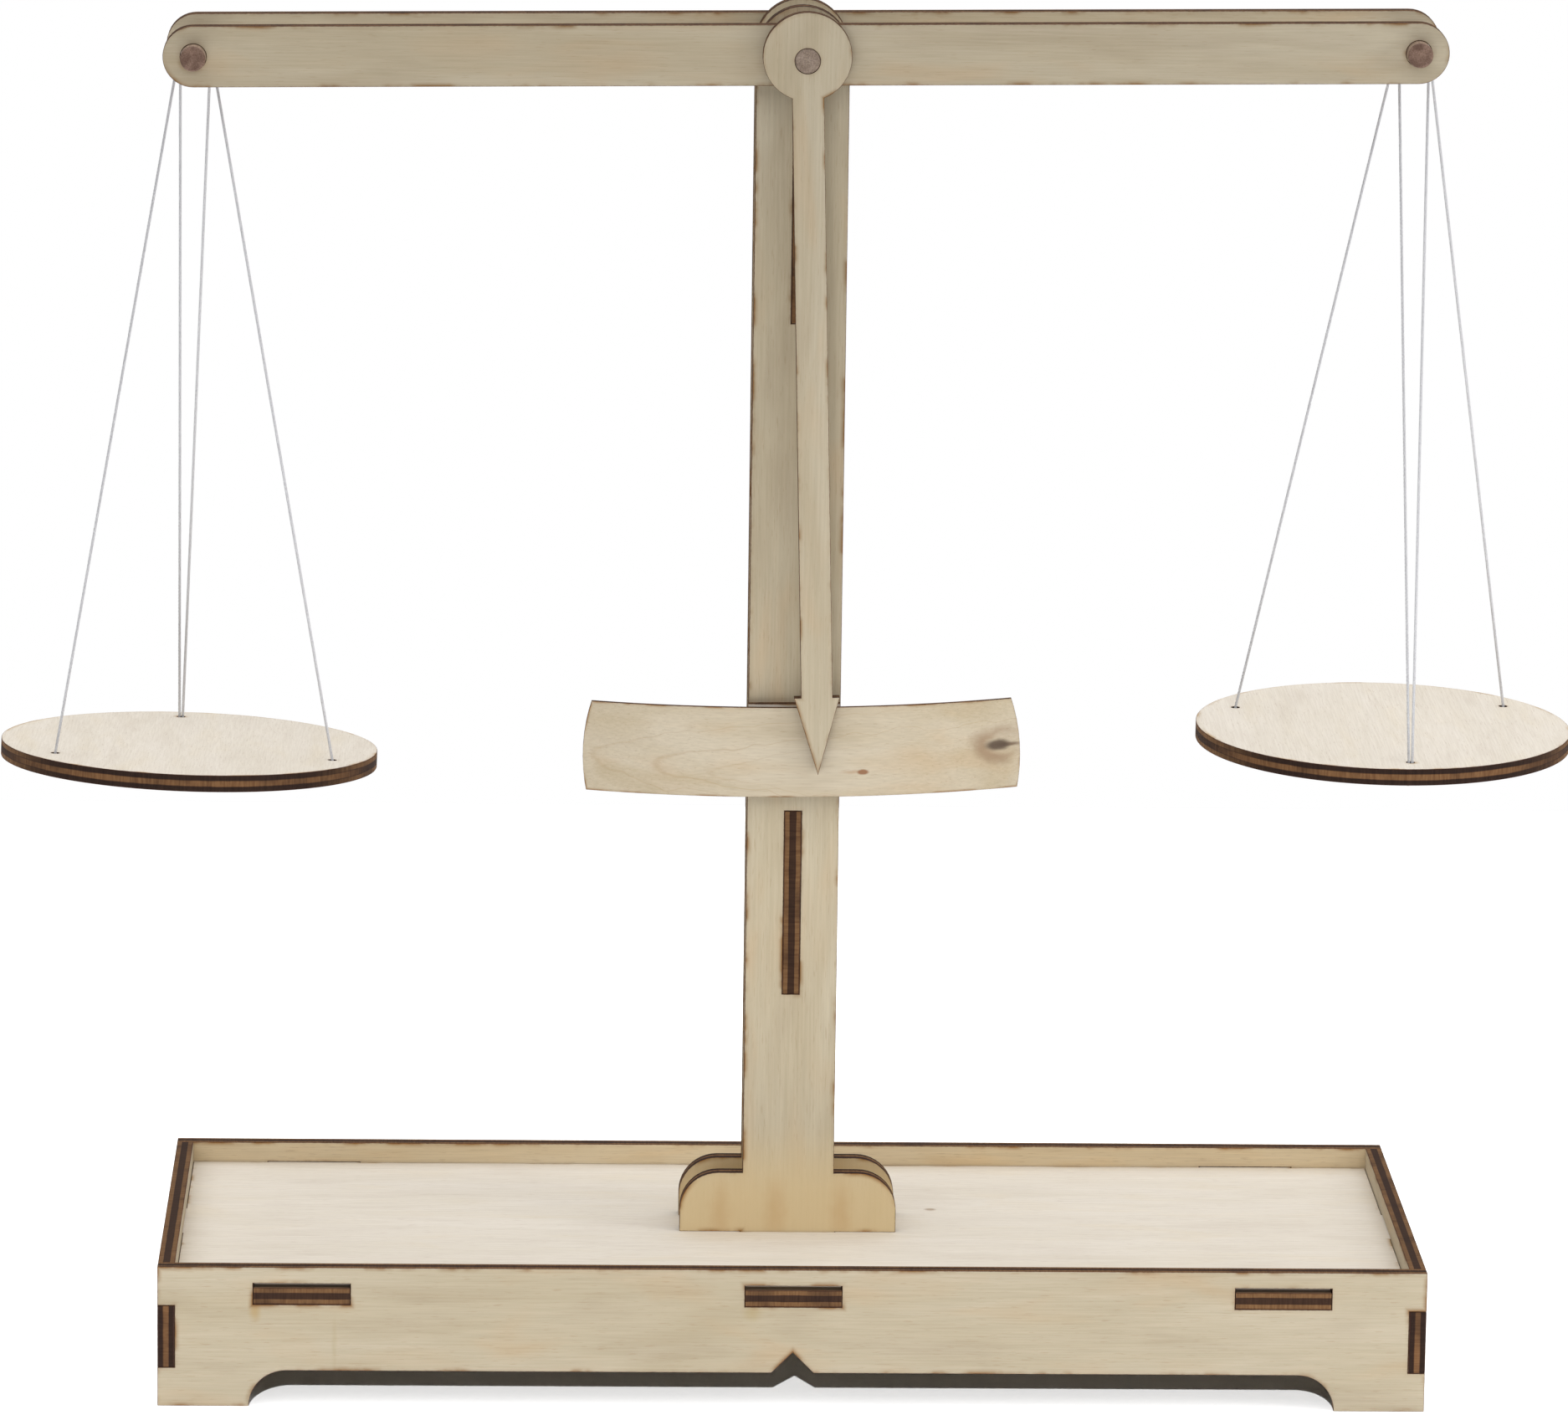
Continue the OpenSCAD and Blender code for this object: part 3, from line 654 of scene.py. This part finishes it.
def cut_edge(name, sheet):
    material, tree, shader = new_finish(name)
    across = add(tree, "Attribute", out="Fac", attribute_name="across")
    end_grain = add(tree, "Attribute", out="Fac", attribute_name="end_grain")
    place = add(tree, "TexCoord", out="Object")
    size = [1 / (ALONG_RIDGE if axis == sheet else RIDGE) for axis in "xyz"]
    ridged = add(tree, "Mapping", {"Vector": place, "Scale": size})
    ridges = add(tree, "TexNoise", {"Vector": ridged, "Scale": 1.0, "Detail": 1.0})
    burn = add(tree, "TexNoise", {"Vector": place, "Scale": 1 / BURN_CELL, "Detail": 3.0})
    wave = add(tree, "MapRange", {0: burn, 3: -0.09, 4: 0.09})
    from_middle = add(tree, "Math", {0: across}, operation="ABSOLUTE")
    depth = add(tree, "Math", {0: from_middle, 1: wave}, operation="ADD")
    outer = add(tree, "MapRange", {0: depth, 1: CORE - 0.03, 2: CORE + 0.05}, **SMOOTH)
    square_cut = add(tree, "MapRange", {0: end_grain, 1: 0.25, 2: 0.8}, **SMOOTH)
    face_ply = add(tree, "Mix", {0: square_cut, 6: linear("#7d5c3c"), 7: linear("#2f1e15")}, **COLOUR)
    core_ply = add(tree, "Mix", {0: square_cut, 6: linear("#3e291c"), 7: linear("#7f5c3c")}, **COLOUR)
    body = add(tree, "Mix", {0: outer, 6: core_ply, 7: face_ply}, **COLOUR)
    off_glue = add(tree, "Math", {0: depth, 1: CORE}, operation="SUBTRACT")
    glue = add(tree, "Math", {0: off_glue}, operation="ABSOLUTE")
    glued = add(tree, "MapRange", {0: glue, 1: 0.09, 2: 0.03, 4: 0.55}, **SMOOTH)
    body = add(tree, "Mix", {0: glued, 6: body, 7: linear("#2b1a14")}, **COLOUR)
    rim = add(tree, "MapRange", {0: depth, 1: 0.84, 2: 0.98, 4: 0.8}, **SMOOTH)
    body = add(tree, "Mix", {0: rim, 6: body, 7: linear("#4a2a20")}, **COLOUR)
    burnt = add(tree, "MapRange", {0: burn, 1: 0.45, 2: 0.72, 4: 0.55}, **SMOOTH)
    body = add(tree, "Mix", {0: burnt, 6: body, 7: linear("#2f1e17")}, **COLOUR)
    tint = add(tree, "ValToRGB", {0: ridges}, stops=[(0.3, "#b9aca4"), (0.7, "#ffffff")])
    body = add(tree, "Mix", {0: 0.7, 6: body, 7: tint}, blend_type="MULTIPLY", **COLOUR)
    tree.links.new(body, shader.inputs["Base Color"])
    shader.inputs["Roughness"].default_value = 0.8
    shader.inputs["Specular IOR Level"].default_value = 0.2
    bump = add(tree, "Bump", {"Height": ridges, "Strength": 0.5, "Distance": 0.08 * MM})
    tree.links.new(bump, shader.inputs["Normal"])
    return material


# %% Give the plywood its finishes
EDGES = {axis: cut_edge(f"laser-cut birch edge, sheet across {axis}", axis) for axis in "xyz"}
TAN = {"light": "#c7bca5", "dark": "#baac91", "cloud": "#c4a884"}
BACK = {"light": "#ebdbbc", "dark": "#dbc6a1", "cloud": "#e2be88"}
FRONT = {"light": "#bfb49e", "dark": "#b2a58b", "cloud": "#bca17e"}
PLATE = {"light": "#ccc1a9", "dark": "#bfb195", "cloud": "#c9ad88"}
CREAM = {"light": "#e9e1d5", "dark": "#e2d9ca", "cloud": "#e2d3b6", "smoke": "#c9a873", "clouds": 0.25}
FACES = {
    "front_panel": birch_face("birch face, base front", "x", marks=panel_marks, **FRONT),
    "back_panel": birch_face("birch face, base back", "x", shift=(20, 12, 9), **BACK),
    "left_end_panel": birch_face("birch face, base ends", "y", shift=(40, 9, 0), **TAN),
    "tray_floor": birch_face("pale birch face, tray", "x", shift=(13, 70, 5), marks=tray_tab_shade_and_fleck, **CREAM),
    "column_front_plate": birch_face("birch face, column", "z", shift=(0, 31, 17), marks=foot_bounce_light_and_streaks,
                                     **PLATE),
    "front_beam_bar": birch_face("birch face, beam", "x", shift=(60, 5, 44), **TAN),
    "pointer": birch_face("birch face, pointer", "z", shift=(90, 15, 71), **TAN),
    "dial_plate": birch_face("birch veneer, dial", "x", light="#d1c5af", dark="#c4b599", cloud="#c9ac86",
                             shift=(8, 3, 20), figure=0.35, marks=dial_marks),
    "left_pan": birch_face("pale birch face, pans", "y", shift=(21, 44, 3), **CREAM),
}
SAME_FACE = {
    "right_end_panel": "left_end_panel", "column_back_plate": "column_front_plate",
    "column_rib": "column_front_plate", "dial_spacer": "tray_floor", "back_beam_bar": "front_beam_bar",
    "right_pan": "left_pan",
}
for node, piece in plywood.items():
    sheet = PLY_PARTS[node][2]
    axis = max("xyz", key=lambda a: abs(sheet.dot(AXES[a])))
    piece.data.materials.append(FACES[SAME_FACE.get(node, node)])
    piece.data.materials.append(EDGES[axis])
print("plywood finishes:", len(FACES) + len(EDGES))

# %% [markdown]
# ### Dowel rod and thread
# The rods are a close-grained hardwood with a pinkish grey-brown cast, long fibres on the side and tiny
# pores on the sawn ends. The thread is white cotton in three strands. It is soft and slightly glossy, and
# in front of a white background it reads as a fine grey line.

# %% Dowel and thread finishes
def dowel_side(name, light, dark):
    material, tree, shader = new_finish(name)
    fibre = grain_noise(tree, millimetres(tree, "y", (0, 0, 0)), 14.0, 0.35, 3.0)
    body = add(tree, "ValToRGB", {0: fibre}, stops=[(0.3, dark), (0.7, light)])
    tree.links.new(body, shader.inputs["Base Color"])
    shader.inputs["Roughness"].default_value = 0.6
    bump = add(tree, "Bump", {"Height": fibre, "Strength": 0.3, "Distance": 0.06 * MM})
    tree.links.new(bump, shader.inputs["Normal"])
    return material


def dowel_end(name, light, dark):
    material, tree, shader = new_finish(name)
    place = add(tree, "TexCoord", out="Object")
    pores = add(tree, "TexNoise", {"Vector": place, "Scale": 1 / (0.35 * MM), "Detail": 2.0})
    patch = add(tree, "TexNoise", {"Vector": place, "Scale": 1 / (2.5 * MM), "Detail": 2.0})
    body = add(tree, "ValToRGB", {0: patch}, stops=[(0.35, dark), (0.65, light)])
    speck = add(tree, "ValToRGB", {0: pores}, stops=[(0.35, "#a8978b"), (0.6, "#ffffff")])
    body = add(tree, "Mix", {0: 0.6, 6: body, 7: speck}, blend_type="MULTIPLY", **COLOUR)
    tree.links.new(body, shader.inputs["Base Color"])
    shader.inputs["Roughness"].default_value = 0.75
    bump = add(tree, "Bump", {"Height": pores, "Strength": 0.4, "Distance": 0.08 * MM})
    tree.links.new(bump, shader.inputs["Normal"])
    return material


def cotton_thread(name):
    material, tree, shader = new_finish(name)
    place = add(tree, "TexCoord", out="Object")
    fibre = add(tree, "TexNoise", {"Vector": place, "Scale": 1 / (0.25 * MM), "Detail": 2.0})
    body = add(tree, "ValToRGB", {0: fibre}, stops=[(0.3, "#cacace"), (0.7, "#e2e2e4")])
    tree.links.new(body, shader.inputs["Base Color"])
    shader.inputs["Roughness"].default_value = 0.6
    bump = add(tree, "Bump", {"Height": fibre, "Strength": 0.4, "Distance": 0.05 * MM})
    tree.links.new(bump, shader.inputs["Normal"])
    return material


rod_side = dowel_side("hardwood rod, side", "#a8917d", "#826a58")
rod_ends = {
    "beam_axle": dowel_end("hardwood rod, axle end", "#a69586", "#8b796a"),
    "hanger": dowel_end("hardwood rod, hanger end", "#927666", "#6f5446"),
}
for node, piece in dowels.items():
    piece.data.materials.append(rod_side)
    piece.data.materials.append(rod_ends.get(node, rod_ends["hanger"]))
cotton = cotton_thread("white twisted cotton")
for pieces in threads.values():
    for piece in pieces:
        piece.data.materials.append(cotton)
print("materials:", len(bpy.data.materials))

# %% [markdown]
# ## Studio
# The scale stands on a white sheet under a wide white ceiling, which the world background stands in for: it
# is bright overhead and falls off towards the horizon, so flat faces are lighter than upright ones. The
# sheet throws light back up, and that is why the base is brighter than the beam. A soft box at the right
# gives the parts a gentle shadow to their left, and a weak one in front is linked to the wood alone. A low
# lamp in front reaches a little way in under the arch of the base; it is linked to the sheet alone.

# %% Floor
FLOOR_SIZE = 1.2
bm = bmesh.new()
bmesh.ops.create_grid(bm, x_segments=1, y_segments=1, size=FLOOR_SIZE / 2)
floor_mesh = bpy.data.meshes.new("white_sheet")
bm.to_mesh(floor_mesh)
bm.free()
floor = bpy.data.objects.new("white_sheet", floor_mesh)
bpy.context.scene.collection.objects.link(floor)
paper, paper_tree, paper_shader = new_finish("white matt paper")
paper_place = add(paper_tree, "TexCoord", out="Object")
paper_fibre = add(paper_tree, "TexNoise", {"Vector": paper_place, "Scale": 1 / (2.5 * MM), "Detail": 2.0})
paper_colour = add(paper_tree, "ValToRGB", {0: paper_fibre}, stops=[(0.3, "#f8f8f8"), (0.7, "#fbfbfb")])
paper_tree.links.new(paper_colour, paper_shader.inputs["Base Color"])
paper_shader.inputs["Roughness"].default_value = 0.95
floor_mesh.materials.append(paper)
print("white sheet", FLOOR_SIZE, "m square")

# %% Lamps
LOW_LAMP_ANGLE = math.radians(26.3)


def lamp(name, kind, energy, place, aim=(0, 0, 0.12), **settings):
    data = bpy.data.lights.new(name, kind)
    data.energy = energy
    for key, value in settings.items():
        setattr(data, key, value)
    light = bpy.data.objects.new(name, data)
    bpy.context.scene.collection.objects.link(light)
    light.visible_camera = False
    light.location = place
    light.rotation_mode = "QUATERNION"
    light.rotation_quaternion = (Vector(aim) - Vector(place)).to_track_quat("-Z", "Y")
    return light


lamp("side_box", "AREA", 3.6, (1.2, -0.5, 0.45), size=0.35)
front_box = lamp("front_box", "AREA", 1.3, (-0.3, -1.1, 0.1), aim=(0, 0, 0), size=0.3)
low_place = (-0.045, -math.cos(LOW_LAMP_ANGLE), math.sin(LOW_LAMP_ANGLE))
low_lamp = lamp("under_arch", "SUN", 5.0, low_place, aim=(0, 0, 0), angle=math.radians(1.0))
lit = bpy.data.collections.new("lit_by_low_lamp")
lit.objects.link(floor)
shading = bpy.data.collections.new("shades_low_lamp")
for node in ("front_panel", "back_panel", "left_end_panel", "right_end_panel", "tray_floor"):
    shading.objects.link(plywood[node])
low_lamp.data.cycles.max_bounces = 1
low_lamp.light_linking.receiver_collection = lit
low_lamp.light_linking.blocker_collection = shading
wood = bpy.data.collections.new("lit_by_front_box")
for piece in (*plywood.values(), *dowels.values()):
    wood.objects.link(piece)
front_box.light_linking.receiver_collection = wood

# %% White ceiling
CEILING = 1.32
HORIZON, OVERHEAD = 0.22, 0.6
world = bpy.data.worlds.new("white_surroundings")
bpy.context.scene.world = world
world.use_nodes = True
sky = world.node_tree
direction = add(sky, "TexCoord", out="Generated")
upward = add(sky, "SeparateXYZ", {0: direction}, out="Z")
glow = add(sky, "MapRange", {0: upward, 1: HORIZON, 2: OVERHEAD, 4: CEILING}, **SMOOTH)
ceiling = add(sky, "Background", {"Color": linear("#ffffff"), "Strength": glow})
backdrop = add(sky, "Background", {"Color": linear("#ffffff"), "Strength": 1.0})
in_view = add(sky, "LightPath", out="Is Camera Ray")
both = add(sky, "MixShader", {0: in_view, 1: ceiling, 2: backdrop})
sky.links.new(both, sky.nodes["World Output"].inputs["Surface"])
bpy.context.scene.view_settings.view_transform = "Standard"
print("ceiling strength", CEILING)
